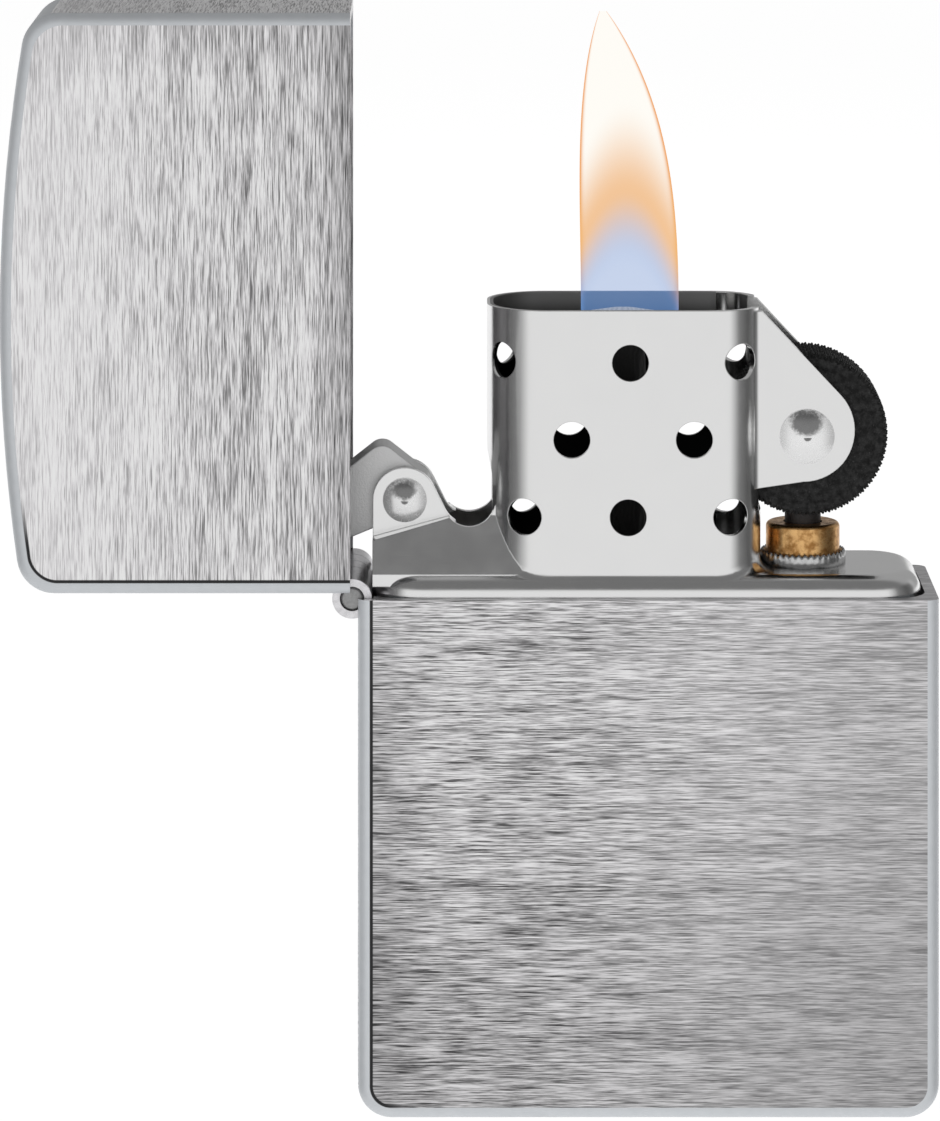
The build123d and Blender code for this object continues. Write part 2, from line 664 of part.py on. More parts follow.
def main():
    mid = HINGE_Z
    write(build_case_shell(), "case_shell")
    write(opened(build_lid_shell()), "lid_shell")
    write(build_leaf((0, 2, 4), BODY_H - LEAF_L, mid), "lower_hinge_leaf")
    write(opened(build_leaf((1, 3), mid, BODY_H + SEAM + LEAF_L)), "upper_hinge_leaf")
    write(build_hinge_pin(), "hinge_pin")
    write(build_insert_shell(), "insert_shell")
    write(build_deck_plate(), "deck_plate")
    write(build_cam(), "lid_cam")
    write(build_cam_spring(), "cam_spring")
    write(build_cam_spring_rivet(), "cam_spring_rivet")
    cam_rivet = rivet(CAM_X, CAM_Z, CAM_PIN_R, CAM_EAR_Y + 0.02, CAM_HEAD_R, 0.6)
    write(cam_rivet, "cam_rivet")
    write(build_flint_wheel(), "flint_wheel")
    axle = rivet(WHEEL_X, WHEEL_Z, AXLE_R, WHEEL_EAR_Y + 0.02, AXLE_HEAD_R, 0.65)
    write(axle, "wheel_axle")
    write(build_flint_tube(), "flint_tube")
    write(build_tube_collar(), "tube_collar")
    write(build_flint(), "flint")
    write(build_spring_tip(), "spring_tip")
    write(build_flint_spring(), "flint_spring")
    write(build_flint_screw(), "flint_screw")
    write(build_wick(), "wick")
    write(build_cotton_packing(), "cotton_packing")
    write(build_felt_pad(), "felt_pad")


main()
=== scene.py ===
"""Looks of the flip-top lighter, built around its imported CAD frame.

Lengths are in metres, and MM turns a size in millimetres into metres. Materials
work in millimetres, on the object's own coordinates. The lid stands open in the
rest pose, so the lid's own brushing runs along Z there.
"""
import math

import bmesh
import bpy
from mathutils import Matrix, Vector, noise


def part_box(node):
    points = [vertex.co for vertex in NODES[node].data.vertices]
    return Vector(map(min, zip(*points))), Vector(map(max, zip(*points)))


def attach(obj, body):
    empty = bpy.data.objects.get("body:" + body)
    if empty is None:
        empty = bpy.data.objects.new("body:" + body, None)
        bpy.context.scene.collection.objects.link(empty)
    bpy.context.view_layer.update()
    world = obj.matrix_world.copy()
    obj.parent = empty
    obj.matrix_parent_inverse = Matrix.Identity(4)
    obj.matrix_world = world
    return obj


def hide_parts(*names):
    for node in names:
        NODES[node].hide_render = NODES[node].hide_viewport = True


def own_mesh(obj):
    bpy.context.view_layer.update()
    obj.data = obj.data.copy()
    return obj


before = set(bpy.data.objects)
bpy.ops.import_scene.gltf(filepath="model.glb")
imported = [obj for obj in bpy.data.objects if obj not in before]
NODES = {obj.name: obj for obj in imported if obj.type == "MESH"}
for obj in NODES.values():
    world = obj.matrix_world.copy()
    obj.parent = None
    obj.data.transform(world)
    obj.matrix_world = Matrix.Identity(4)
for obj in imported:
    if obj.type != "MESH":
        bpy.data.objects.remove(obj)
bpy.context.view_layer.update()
MM = 0.001

# --- places taken from the frame --------------------------------------------
CASE_LOW, CASE_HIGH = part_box("case_shell")
LID_LOW, LID_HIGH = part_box("lid_shell")
CHIMNEY_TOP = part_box("insert_shell")[1].z
WICK_LOW, WICK_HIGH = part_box("wick")
WHEEL_LOW, WHEEL_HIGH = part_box("flint_wheel")
COLLAR_LOW, COLLAR_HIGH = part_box("tube_collar")
SPRING_LOW, SPRING_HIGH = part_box("flint_spring")

# --- sizes of the design, in millimetres, for the materials ---------------------
RIM = 0.8                   # width of the smooth rim round each face
FOOT_R = 2.2                # corner radii of the case and lid outlines
LID_CORNER_R = 2.5
CROWN_R = 111.0             # crown of the lid
CROWN_DROP = 1.0            # the crown's apex lies this far below mid-height
CHIMNEY_MIDDLE = (-1.505, 0.0)      # the chimney in plan: middle, half sizes, corner radius
CHIMNEY_HALF = (9.045, 4.95)
CHIMNEY_R = 4.0
DECK_Z = 35.35

# --- sizes of the design, in metres, for the meshes -------------------------------
WHEEL_BORE_R = 1.06 * MM
COLLAR_BORE_R = 2.485 * MM
WIRE_R = 0.14 * MM          # the coil spring's wire, coil radius and pitch
COIL_R = 0.90 * MM
COIL_PITCH = 1.15 * MM
FLAME_FOOT = CHIMNEY_TOP - 1.0 * MM
FLAME_TALL = 20.6 * MM

# --- camera ------------------------------------------------------------------------
CAMERA_DISTANCE = 400 * MM          # from the case's front face
CAMERA_X = -13.0 * MM
CAMERA_Z = 108.5 * MM
FRAME_MIDDLE = (-11.70 * MM, 36.62 * MM)    # x and z at the middle of the picture
FRAME_HEIGHT = 73.37 * MM           # of the picture, at the case's front face
SENSOR = 36


# --- node graphs -----------------------------------------------------------------
class Graph:
    """Short calls that build one node tree."""

    def __init__(self, tree):
        self.tree = tree
        self.tree.nodes.clear()

    def add(self, kind, inputs=None, **settings):
        node = self.tree.nodes.new("ShaderNode" + kind)
        for key, value in settings.items():
            setattr(node, key, value)
        for key, value in (inputs or {}).items():
            self.feed(node.inputs[key], value)
        return node

    def feed(self, socket, value):
        if isinstance(value, bpy.types.NodeSocket):
            self.tree.links.new(value, socket)
        elif socket.type == "RGBA" and isinstance(value, (tuple, list)) and len(value) == 3:
            socket.default_value = (*value, 1)
        else:
            socket.default_value = value

    def math(self, operation, a, b=0.0, c=0.0, clamp=False):
        node = self.add("Math", {0: a, 1: b, 2: c}, operation=operation, use_clamp=clamp)
        return node.outputs[0]

    def combine(self, x, y, z):
        return self.add("CombineXYZ", {0: x, 1: y, 2: z}).outputs[0]

    def split(self, vector):
        return self.add("SeparateXYZ", {0: vector}).outputs[:]

    def noise(self, vector, scale=1.0, detail=3.0, rough=0.55):
        inputs = {"Vector": vector, "Scale": scale, "Detail": detail, "Roughness": rough}
        return self.add("TexNoise", inputs).outputs[0]

    def step(self, value, low, high, to_low=0.0, to_high=1.0):
        """Smooth step from to_low at low to to_high at high."""
        inputs = {0: value, 1: low, 2: high, 3: to_low, 4: to_high}
        node = self.add("MapRange", inputs, interpolation_type="SMOOTHSTEP")
        return node.outputs[0]

    def mix(self, share, a, b):
        """Mix of two colours or grey values."""
        node = self.add("Mix", data_type="RGBA")
        self.feed(node.inputs[0], share)
        self.feed(node.inputs[6], as_colour(a))
        self.feed(node.inputs[7], as_colour(b))
        return node.outputs[2]

    def scaled(self, colour, factor):
        """A colour multiplied by a grey value."""
        node = self.add("VectorMath", {0: colour}, operation="SCALE")
        self.feed(node.inputs["Scale"], factor)
        return node.outputs[0]

    def bump(self, height, distance, strength=1.0, normal=None):
        inputs = {"Height": height, "Distance": distance, "Strength": strength}
        if normal:
            inputs["Normal"] = normal
        return self.add("Bump", inputs).outputs[0]

    def rounded_normal(self, radius):
        """Normal with small edge roundings, for the cut edges of sheet metal."""
        return self.add("Bevel", {"Radius": radius}, samples=6).outputs[0]

    def length(self, a, b):
        """Length of the flat vector (a, b)."""
        return self.math("SQRT", self.math("ADD", self.math("MULTIPLY", a, a), self.math("MULTIPLY", b, b)))

    def stretched(self, a, a_scale, b, b_scale, c):
        """A place whose first two coordinates are scaled."""
        return self.combine(self.math("MULTIPLY", a, a_scale), self.math("MULTIPLY", b, b_scale), c)

    def object_mm(self):
        """Object coordinates in millimetres, as X, Y and Z sockets."""
        place = self.add("TexCoord").outputs["Object"]
        scaled = self.add("VectorMath", {0: place, 1: (1 / MM,) * 3}, operation="MULTIPLY")
        return self.split(scaled.outputs[0])

    def own_normal(self):
        """The face's normal in the object's own frame, so that it holds at every pose."""
        normal = self.add("NewGeometry").outputs["True Normal"]
        turned = self.add("VectorTransform", {0: normal}, vector_type="NORMAL",
                          convert_from="WORLD", convert_to="OBJECT")
        return self.split(turned.outputs[0])

    def principled(self, **inputs):
        named = {key.replace("_", " "): value for key, value in inputs.items()}
        return self.add("BsdfPrincipled", named).outputs[0]

    def output(self, shader, kind="OutputMaterial"):
        self.add(kind, {0: shader})


def as_colour(value):
    """A grey number as a colour; sockets and colours stay as they are."""
    return (value,) * 3 if isinstance(value, (int, float)) else value


def material(name):
    """A new node material and its empty graph."""
    made = bpy.data.materials.new(name)
    made.use_nodes = True
    return made, Graph(made.node_tree)


# --- brushed case and lid ------------------------------------------------------
# how often each layer of brush marks repeats per millimetre, along and across,
# with its seed offset, detail and share of the sum
BRUSH_LAYERS = (
    (0.30, 7.5, 0, 4, 0.42),        # fine streaks
    (0.60, 19.0, 7, 2, 0.42),       # hairlines
    (0.06, 0.7, 13, 3, 0.16),       # broad light and dark bands
)
MEAN_CONTRAST = 0.94


def streaks(g, along, across, seed):
    """Brush marks as a grey value round 0.5."""
    total = 0.0
    for along_scale, across_scale, offset, detail, share in BRUSH_LAYERS:
        place = g.stretched(along, along_scale, across, across_scale, seed + offset)
        layer = g.math("MULTIPLY", g.noise(place, 1, detail, 0.6), share)
        total = g.math("ADD", layer, total)
    return total


def outline_distance(g, u, v, centre, half, radius):
    """Signed distance to a rounded rectangle, negative inside."""
    qu = g.math("SUBTRACT", g.math("ABSOLUTE", g.math("SUBTRACT", u, centre[0])), half[0] - radius)
    qv = g.math("SUBTRACT", g.math("ABSOLUTE", g.math("SUBTRACT", v, centre[1])), half[1] - radius)
    corner = g.length(g.math("MAXIMUM", qu, 0.0), g.math("MAXIMUM", qv, 0.0))
    inner = g.math("MINIMUM", g.math("MAXIMUM", qu, qv), 0.0)
    return g.math("SUBTRACT", g.math("ADD", corner, inner), radius)


def case_distance(g, x, z):
    """Distance to the case outline; its top edge is left open."""
    half = (CASE_HIGH.x - CASE_LOW.x) / 2 / MM
    tall = 100.0
    return outline_distance(g, x, z, (0.0, tall), (half, tall), FOOT_R)


def lid_distance(g, x, z):
    """Distance to the open lid's outline; its open edge, to the right, is left out."""
    middle = (LID_LOW.z + LID_HIGH.z) / 2 / MM
    off = g.math("SUBTRACT", z, middle - CROWN_DROP)
    sag = g.math("DIVIDE", g.math("MULTIPLY", off, off), 2 * CROWN_R)
    flat_x = g.math("SUBTRACT", x, sag)
    long = 100.0
    half = (long, (LID_HIGH.z - LID_LOW.z) / 2 / MM)
    return outline_distance(g, flat_x, z, (LID_LOW.x / MM + long, middle), half, LID_CORNER_R)


def case_tone(g, x, z):
    """Broad light on the case's panel: bright upper left, darker rim side and foot."""
    height = g.step(z, 2.0, 30.0, 0.80, 1.06)
    side = g.step(x, -18.3, -13.5, 0.76, 1.0)
    right = g.step(x, 2.0, 18.0, 1.0, 0.86)
    return g.math("MULTIPLY", g.math("MULTIPLY", height, side), right)


def lid_tone(g, x, z):
    """Broad light on the lid's panel: bright crown, darker towards the open edge and top."""
    crown = g.step(x, -40.0, -24.0, 1.10, 0.93)
    edge = g.step(x, -23.0, -19.6, 1.0, 0.66)
    top = g.step(z, 67.0, 71.5, 1.0, 0.80)
    return g.math("MULTIPLY", g.math("MULTIPLY", crown, edge), top)


def case_look(g, x, z, size):
    """What the case's brushing needs; its thin painted shadow fades out along the foot."""
    return {
        "along": x, "across": z, "end": size[2],
        "distance": case_distance(g, x, z), "tone": case_tone(g, x, z),
        "calm": g.step(x, -12.0, 12.0, 1.35, 0.75), "line": g.step(x, -14.5, -17.5),
        # Painted light: case and lid are the same chrome; the case's base level, darker than the lid's, and
        # its rim level, lighter than the lid's, paint them in different light.
        "level": 0.71, "rim_level": 1.05,
    }


def lid_look(g, x, z, size):
    """What the open lid's brushing needs; its thin painted shadow fades out up the crown."""
    return {
        "along": z, "across": x, "end": size[0],
        "distance": lid_distance(g, x, z), "tone": lid_tone(g, x, z),
        "calm": g.step(x, -40.0, -26.0, 0.55, 1.1), "line": g.step(z, 41.5, 37.5),
        # Painted light: the lid's base level, lighter than the case's, and its rim level, darker than the
        # case's, paint the same chrome in different light.
        "level": 0.92, "rim_level": 0.95,
    }


def brush_marks(g, look, y, seed):
    """Streaks that run round the box; on the end face, which they cross, they run square to Y."""
    on_end = g.math("GREATER_THAN", look["end"], 0.9)
    beside = g.math("MULTIPLY", look["across"], g.math("SUBTRACT", 1.0, on_end))
    across = g.math("ADD", beside, g.math("MULTIPLY", y, on_end))
    return streaks(g, g.math("ADD", look["along"], y), across, seed)


def brushed_panel(g, look, marks, front):
    """Shader of the brushed panels: streaky chrome under a broad light."""
    contrast = g.step(marks, 0.39, 0.61, 0.30, 1.46)
    swing = g.math("MULTIPLY", g.math("SUBTRACT", contrast, MEAN_CONTRAST), look["calm"])
    contrast = g.math("MAXIMUM", g.math("ADD", MEAN_CONTRAST, swing), 0.12)
    grey = g.math("MULTIPLY", contrast, g.mix(front, 1.0, look["tone"]))
    level = look["level"]
    colour = g.scaled(g.combine(level, 0.985 * level, level), grey)
    return g.principled(Base_Color=colour, Metallic=1.0, Roughness=g.step(marks, 0.3, 0.7, 0.42, 0.27),
                        Normal=g.bump(marks, 0.03 * MM, 0.5))


def satin_rim(g, look, place):
    """Shader of the smooth, slightly blue rim."""
    colour = g.mix(g.noise(place, 1.6, 3), (0.60, 0.625, 0.65), (0.68, 0.70, 0.725))
    return g.principled(Base_Color=g.scaled(colour, look["rim_level"]), Metallic=0.45, Roughness=0.48)


def brushed_metal(name, look_of, seed):
    """Brushed chrome panels inside a smooth satin rim, with a thin, near-black painted shadow between them.
    """
    made, g = material(name)
    x, y, z = g.object_mm()
    size = [g.math("ABSOLUTE", part) for part in g.own_normal()]
    look = look_of(g, x, z, size)
    front = g.math("GREATER_THAN", size[1], 0.995)
    panel = brushed_panel(g, look, brush_marks(g, look, y, seed), front)
    rim = satin_rim(g, look, g.combine(x, y, z))
    flat = g.math("MAXIMUM", g.math("GREATER_THAN", size[0], 0.97), front)
    flat = g.math("MAXIMUM", flat, g.math("GREATER_THAN", size[2], 0.97))
    inside = g.math("LESS_THAN", look["distance"], -RIM)
    is_panel = g.math("MULTIPLY", flat, g.math("MAXIMUM", inside, g.math("SUBTRACT", 1.0, front)))
    body = g.add("MixShader", {0: is_panel, 1: rim, 2: panel}).outputs[0]
    # Painted shadow: a thin near-black band just inside the rim on front faces, kept to one side by the
    # look's mask.
    line_off = g.math("ABSOLUTE", g.math("ADD", look["distance"], RIM + 0.09))
    line = g.math("MULTIPLY", g.math("MULTIPLY", g.step(line_off, 0.14, 0.07), look["line"]), front)
    dark = g.principled(Base_Color=(0.006, 0.006, 0.007), Roughness=0.6)
    g.output(g.add("MixShader", {0: line, 1: body, 2: dark}).outputs[0])
    return made


# --- other metals -----------------------------------------------------------------
def inside_chimney(g, x, y, z):
    """1 on the chimney's inner walls, 0 elsewhere on the insert."""
    inner = outline_distance(g, x, y, CHIMNEY_MIDDLE, CHIMNEY_HALF, CHIMNEY_R)
    return g.math("MULTIPLY", g.math("LESS_THAN", inner, -0.2), g.math("GREATER_THAN", z, DECK_Z + 0.2))


def polished_sheet():
    """The insert's bright rolled sheet, with painted shade on the chimney's inner walls, darker deeper
    down.
    """
    made, g = material("polished_sheet")
    x, y, z = g.object_mm()
    haze = g.noise(g.combine(x, y, z), 0.35, 4, 0.6)
    rolling = g.noise(g.stretched(x, 0.4, y, 0.4, g.math("MULTIPLY", z, 9.0)), 1, 3, 0.6)
    colour = g.mix(haze, (0.86, 0.86, 0.86), (0.93, 0.93, 0.925))
    top = CHIMNEY_TOP / MM
    # Painted shade on the chimney's inner walls: near black deep down, lighter towards the chimney's top.
    painted_shade = g.mix(g.step(z, top - 2.2, top - 0.3), 0.012, 0.30)
    in_chimney = inside_chimney(g, x, y, z)
    colour = g.mix(in_chimney, colour, painted_shade)
    rough = g.math("ADD", g.step(haze, 0.3, 0.7, 0.13, 0.20), g.math("MULTIPLY", rolling, 0.05))
    rough = g.math("ADD", rough, g.math("MULTIPLY", in_chimney, 0.25))
    normal = g.bump(rolling, 0.004 * MM, 0.25, g.rounded_normal(0.09 * MM))
    g.output(g.principled(Base_Color=colour, Metallic=1.0, Roughness=rough, Normal=normal))
    return made


def satin_steel(name, tint, rough, grain=3.0):
    """Plain steel with fine grain and uneven sheen."""
    made, g = material(name)
    place = g.combine(*g.object_mm())
    wear = g.noise(place, grain, 4, 0.65)
    fine = g.noise(place, grain * 7, 2, 0.6)
    colour = g.scaled(g.combine(*tint), g.step(wear, 0.25, 0.75, 0.82, 1.08))
    sheen = g.step(fine, 0.3, 0.7, rough * 0.8, rough * 1.25)
    normal = g.bump(fine, 0.006 * MM, 0.4, g.rounded_normal(0.05 * MM))
    g.output(g.principled(Base_Color=colour, Metallic=1.0, Roughness=sheen, Normal=normal))
    return made


def rivet_dome():
    """Bright rivet heads that carry a painted reflection, a dark patch, on their upper half."""
    made, g = material("rivet_dome")
    scuffs_and_reflection_wander = g.noise(g.combine(*g.object_mm()), 3.2, 5, 0.7)
    # Painted reflection: a dark patch where the dome's normal tilts a little up, with an edge made ragged
    # by the scuff noise.
    nx, _, nz = g.split(g.add("NewGeometry").outputs["Normal"])
    off_x = g.math("MULTIPLY", g.math("ADD", nx, 0.02), 1.15)
    off_z = g.math("MULTIPLY", g.math("SUBTRACT", nz, 0.27), 1.6)
    wander = g.math("MULTIPLY", g.math("SUBTRACT", scuffs_and_reflection_wander, 0.5), 0.30)
    ragged = g.math("ADD", g.length(off_x, off_z), wander)
    painted_reflection = g.step(ragged, 0.42, 0.26)
    bright_dome = g.mix(scuffs_and_reflection_wander, (0.88, 0.88, 0.88), (0.97, 0.97, 0.97))
    colour = g.mix(painted_reflection, bright_dome, (0.22, 0.22, 0.22))
    rough = g.step(scuffs_and_reflection_wander, 0.35, 0.7, 0.16, 0.34)
    g.output(g.principled(Base_Color=colour, Metallic=0.55, Roughness=rough))
    return made


def sintered_steel():
    """The cam's pressed powder steel: speckled mid grey, polished at its edges."""
    made, g = material("sintered_steel")
    place = g.combine(*g.object_mm())
    speck = g.noise(place, 4.5, 5, 0.8)
    pits = g.add("TexVoronoi", {"Vector": place, "Scale": 7.0}).outputs[0]
    colour = g.mix(g.step(speck, 0.40, 0.60), (0.15, 0.15, 0.15), (0.50, 0.50, 0.50))
    worn = g.add("NewGeometry").outputs["Pointiness"]
    colour = g.mix(g.step(worn, 0.52, 0.60), colour, (0.72, 0.72, 0.72))
    height = g.math("ADD", speck, g.math("MULTIPLY", pits, 0.5))
    normal = g.bump(height, 0.03 * MM, 0.5, g.rounded_normal(0.16 * MM))
    g.output(g.principled(Base_Color=colour, Metallic=0.85, Roughness=0.48, Normal=normal))
    return made


def black_steel():
    """The wheel's blackened steel: charcoal with worn, slightly shiny specks."""
    made, g = material("black_steel")
    place = g.combine(*g.object_mm())
    cloud = g.noise(place, 2.2, 5, 0.72)
    grit = g.noise(place, 12.0, 3, 0.7)
    colour = g.mix(g.step(cloud, 0.36, 0.68), (0.006, 0.006, 0.006), (0.030, 0.030, 0.030))
    colour = g.mix(g.step(grit, 0.60, 0.74), colour, (0.09, 0.09, 0.09))
    height = g.math("ADD", g.math("MULTIPLY", cloud, 0.6), grit)
    g.output(g.principled(Base_Color=colour, Roughness=0.62, Specular_IOR_Level=0.2,
                          Normal=g.bump(height, 0.05 * MM, 0.6)))
    return made


def turned_brass():
    """Brass with turning marks round its axis and brown tarnish in patches."""
    made, g = material("turned_brass")
    x, y, z = g.object_mm()
    place = g.combine(x, y, z)
    tarnish = g.noise(place, 1.6, 5, 0.7)
    rings = g.noise(g.combine(0.0, 0.0, g.math("MULTIPLY", z, 14.0)), 1, 3, 0.6)
    colour = g.mix(g.step(tarnish, 0.36, 0.66), (0.86, 0.52, 0.22), (0.42, 0.20, 0.06))
    colour = g.mix(g.step(rings, 0.62, 0.75), colour, (0.98, 0.74, 0.42))
    rough = g.step(tarnish, 0.3, 0.7, 0.24, 0.42)
    g.output(g.principled(Base_Color=colour, Metallic=1.0, Roughness=rough,
                          Normal=g.bump(rings, 0.012 * MM, 0.5)))
    return made


def cotton(name, tint, scale, painted_shade_below=False):
    """Soft white fibre with a fuzzy sheen; the wick's copy carries painted shade, black below its white
    end.
    """
    made, g = material(name)
    x, y, z = g.object_mm()
    place = g.combine(x, y, z)
    fibre = g.noise(place, scale, 6, 0.7)
    wave = g.add("TexWave", {"Vector": place, "Scale": scale / 4, "Distortion": 6.0, "Detail": 3.0})
    twist = wave.outputs[1]
    light = g.math("ADD", g.math("MULTIPLY", fibre, 0.7), g.math("MULTIPLY", twist, 0.3))
    colour = g.scaled(g.combine(*tint), g.step(light, 0.3, 0.7, 0.80, 1.04))
    # Painted shade: the wick goes near black below its white top end.
    if painted_shade_below:
        top = WICK_HIGH.z / MM
        colour = g.mix(g.step(z, top - 1.8, top - 0.7), 0.015, colour)
    g.output(g.principled(Base_Color=colour, Roughness=0.9, Sheen_Weight=0.4,
                          Normal=g.bump(light, 0.08 * MM, 0.7)))
    return made


# --- meshes ---------------------------------------------------------------------------
def new_piece(name, mesh_builder, made, smooth=True):
    """A mesh object from a function that fills a bmesh."""
    mesh = bpy.data.meshes.new(name)
    bm = bmesh.new()
    mesh_builder(bm)
    bmesh.ops.recalc_face_normals(bm, faces=bm.faces)
    bm.to_mesh(mesh)
    bm.free()
    piece = bpy.data.objects.new(name, mesh)
    bpy.context.scene.collection.objects.link(piece)
    mesh.materials.append(made)
    for face in mesh.polygons:
        face.use_smooth = smooth
    return piece


def loop_grid(bm, rows, closed_rows=False):
    """Quads between rows of points; each row closes on itself."""
    made = [[bm.verts.new(point) for point in row] for row in rows]
    pairs = list(zip(made, made[1:]))
    if closed_rows:
        pairs.append((made[-1], made[0]))
    for lower, upper in pairs:
        count = len(lower)
        for i in range(count):
            j = (i + 1) % count
            bm.faces.new((lower[i], lower[j], upper[j], upper[i]))
    return made


def cap_ends(bm, made):
    """Close both ends of a tube of rows."""
    bm.faces.new(made[0])
    bm.faces.new(made[-1])


def turns(steps):
    """Shares of a full turn, from 0 up to just under 1."""
    return [i / steps for i in range(steps)]


def triangle_wave(t):
    """0 at whole numbers, 1 half-way between them."""
    return 1 - abs(2 * (t % 1.0) - 1)


def wheel_profile(radius, half):
    """Rows from bore to bore: radius, offset from mid-width, share of tooth depth."""
    side = [
        (WHEEL_BORE_R, half - 0.05 * MM, 0), (1.35 * MM, half, 0), (3.9 * MM, half, 0),
        (4.15 * MM, half - 0.10 * MM, 0), (4.40 * MM, half - 0.10 * MM, 0),
        (4.62 * MM, half, 0), (radius - 0.30 * MM, half, 0.35),
    ]
    inner = half - 0.16 * MM
    rim_rows = 26
    rim = [(radius, inner - 2 * inner * k / rim_rows, 1) for k in range(rim_rows + 1)]
    return side + rim + [(r, -w, share) for r, w, share in reversed(side)]


def flint_wheel_mesh(bm):
    """A wheel along Y whose rim carries two crossing sets of fine teeth."""
    centre = (WHEEL_LOW + WHEEL_HIGH) / 2
    radius = (WHEEL_HIGH.x - WHEEL_LOW.x) / 2
    half = (WHEEL_HIGH.y - WHEEL_LOW.y) / 2
    teeth = 76
    steps_per_tooth = 6
    tooth = 0.27 * MM
    lead = 1.35 * MM        # the teeth lean by one pitch over this width
    rows = []
    for r, w, share in wheel_profile(radius, half):
        row = []
        for turn in turns(teeth * steps_per_tooth):
            left = triangle_wave(turn * teeth + w / lead)
            right = triangle_wave(turn * teeth - w / lead)
            cut = min(min(left, right) * 1.8, 1.0)
            reach = r - share * tooth * (1 - cut)
            a = turn * 2 * math.pi
            row.append(centre + Vector((reach * math.cos(a), w, reach * math.sin(a))))
        rows.append(row)
    loop_grid(bm, rows, closed_rows=True)


def collar_mesh(bm):
    """The crimped ring at the tube's foot: a low cup whose top edge is serrated."""
    centre = (COLLAR_LOW + COLLAR_HIGH) / 2
    outer = (COLLAR_HIGH.x - COLLAR_LOW.x) / 2
    height = COLLAR_HIGH.z - COLLAR_LOW.z
    ridges = 40
    steps_per_ridge = 6
    notch_drop = 0.16 * MM
    notch_depth = 0.05 * MM
    # radius, share of the height, share of the notch
    profile = [
        (COLLAR_BORE_R, 0, 0), (outer, 0, 0), (outer, 0.55, 0), (outer - 0.03 * MM, 0.80, 0.8),
        (outer - 0.12 * MM, 0.97, 1), (outer - 0.22 * MM, 0.94, 1), (COLLAR_BORE_R, 0.80, 0.3),
    ]
    rows = []
    for r, share, notch in profile:
        row = []
        for turn in turns(ridges * steps_per_ridge):
            wave = notch * triangle_wave(turn * ridges)
            a = turn * 2 * math.pi
            lift = COLLAR_LOW.z + height * share - wave * notch_drop
            reach = r - wave * notch_depth
            row.append(Vector((centre.x + reach * math.cos(a), reach * math.sin(a), lift)))
        rows.append(row)
    loop_grid(bm, rows, closed_rows=True)


def wick_ring(centre, radius, z, top, steps):
    """One ring of the wick; top is 0 below the split and 1 at the very end."""
    plait = 6
    pitch = 5.0 * MM
    strand = 0.10 * MM
    fray_size = 0.12 * MM
    rounding = max(0.0, (top - 0.80) / 0.20)
    end = math.sqrt(max(0.0, 1 - rounding**2))
    ring = []
    for turn in turns(steps):
        a = turn * 2 * math.pi
        left = triangle_wave(turn * plait + z / pitch)
        right = triangle_wave(turn * plait - z / pitch)
        braid = strand * max(left, right)
        fray = fray_size * top * noise.noise(Vector((math.cos(a) * 3, math.sin(a) * 3, z / MM)))
        r = (radius - strand + braid + fray) * (0.25 + 0.75 * end)
        spread = 1 + 0.75 * top * abs(math.cos(a))
        waist = 1 - 0.45 * top * (1 - abs(math.cos(a)))
        ring.append(Vector((centre.x + r * math.cos(a) * spread, r * math.sin(a) * waist, z)))
    return ring


def wick_mesh(bm):
    """A braided round wick that widens and frays towards its rounded top end."""
    centre = (WICK_LOW + WICK_HIGH) / 2
    radius = (WICK_HIGH.x - WICK_LOW.x) / 2 - 0.08 * MM
    split = 3.0 * MM
    rings = 200
    rows = []
    for k in range(rings + 1):
        z = WICK_LOW.z + (WICK_HIGH.z - WICK_LOW.z) * k / rings
        top = max(0.0, (z - (WICK_HIGH.z - split)) / split)
        rows.append(wick_ring(centre, radius, z, top, 64))
    cap_ends(bm, loop_grid(bm, rows))


def coil_mesh(bm):
    """The flint's coil spring: a round wire on a right-handed helix."""
    centre = (SPRING_LOW + SPRING_HIGH) / 2
    low = SPRING_LOW.z + WIRE_R
    tall = SPRING_HIGH.z - SPRING_LOW.z - 2 * WIRE_R
    per_turn = 24
    sides = 8
    count = round(tall / COIL_PITCH * per_turn)
    rows = []
    for k in range(count + 1):
        turn = 2 * math.pi * tall / COIL_PITCH * k / count
        out = Vector((math.cos(turn), math.sin(turn), 0))
        place = Vector((centre.x, centre.y, low + tall * k / count)) + out * COIL_R
        row = []
        for a in (2 * math.pi * i / sides for i in range(sides)):
            row.append(place + out * (WIRE_R * math.cos(a)) + Vector((0, 0, WIRE_R * math.sin(a))))
        rows.append(row)
    cap_ends(bm, loop_grid(bm, rows))


def flame_mesh(bm):
    """An open teardrop skin that leans left towards its tip, flatter front to back."""
    steps = 48
    rows = 60
    widest = 3.25 * MM
    flatness = 0.6
    rings = []
    for k in range(rows):
        t = k / rows
        half = widest * (1 - t**3.2)**0.9
        middle = -1.05 * MM - 1.85 * MM * t**2.2
        ring = []
        for a in (2 * math.pi * i / steps for i in range(steps)):
            x = middle + half * math.cos(a)
            ring.append((x, flatness * half * math.sin(a), FLAME_FOOT + FLAME_TALL * t))
        rings.append(ring)
    loop_grid(bm, rings)


# --- put the pieces together -----------------------------------------------------------
def paint(node, made):
    """Give a CAD node one material."""
    mesh = NODES[node].data
    mesh.materials.clear()
    mesh.materials.append(made)
    for face in mesh.polygons:
        face.material_index = 0


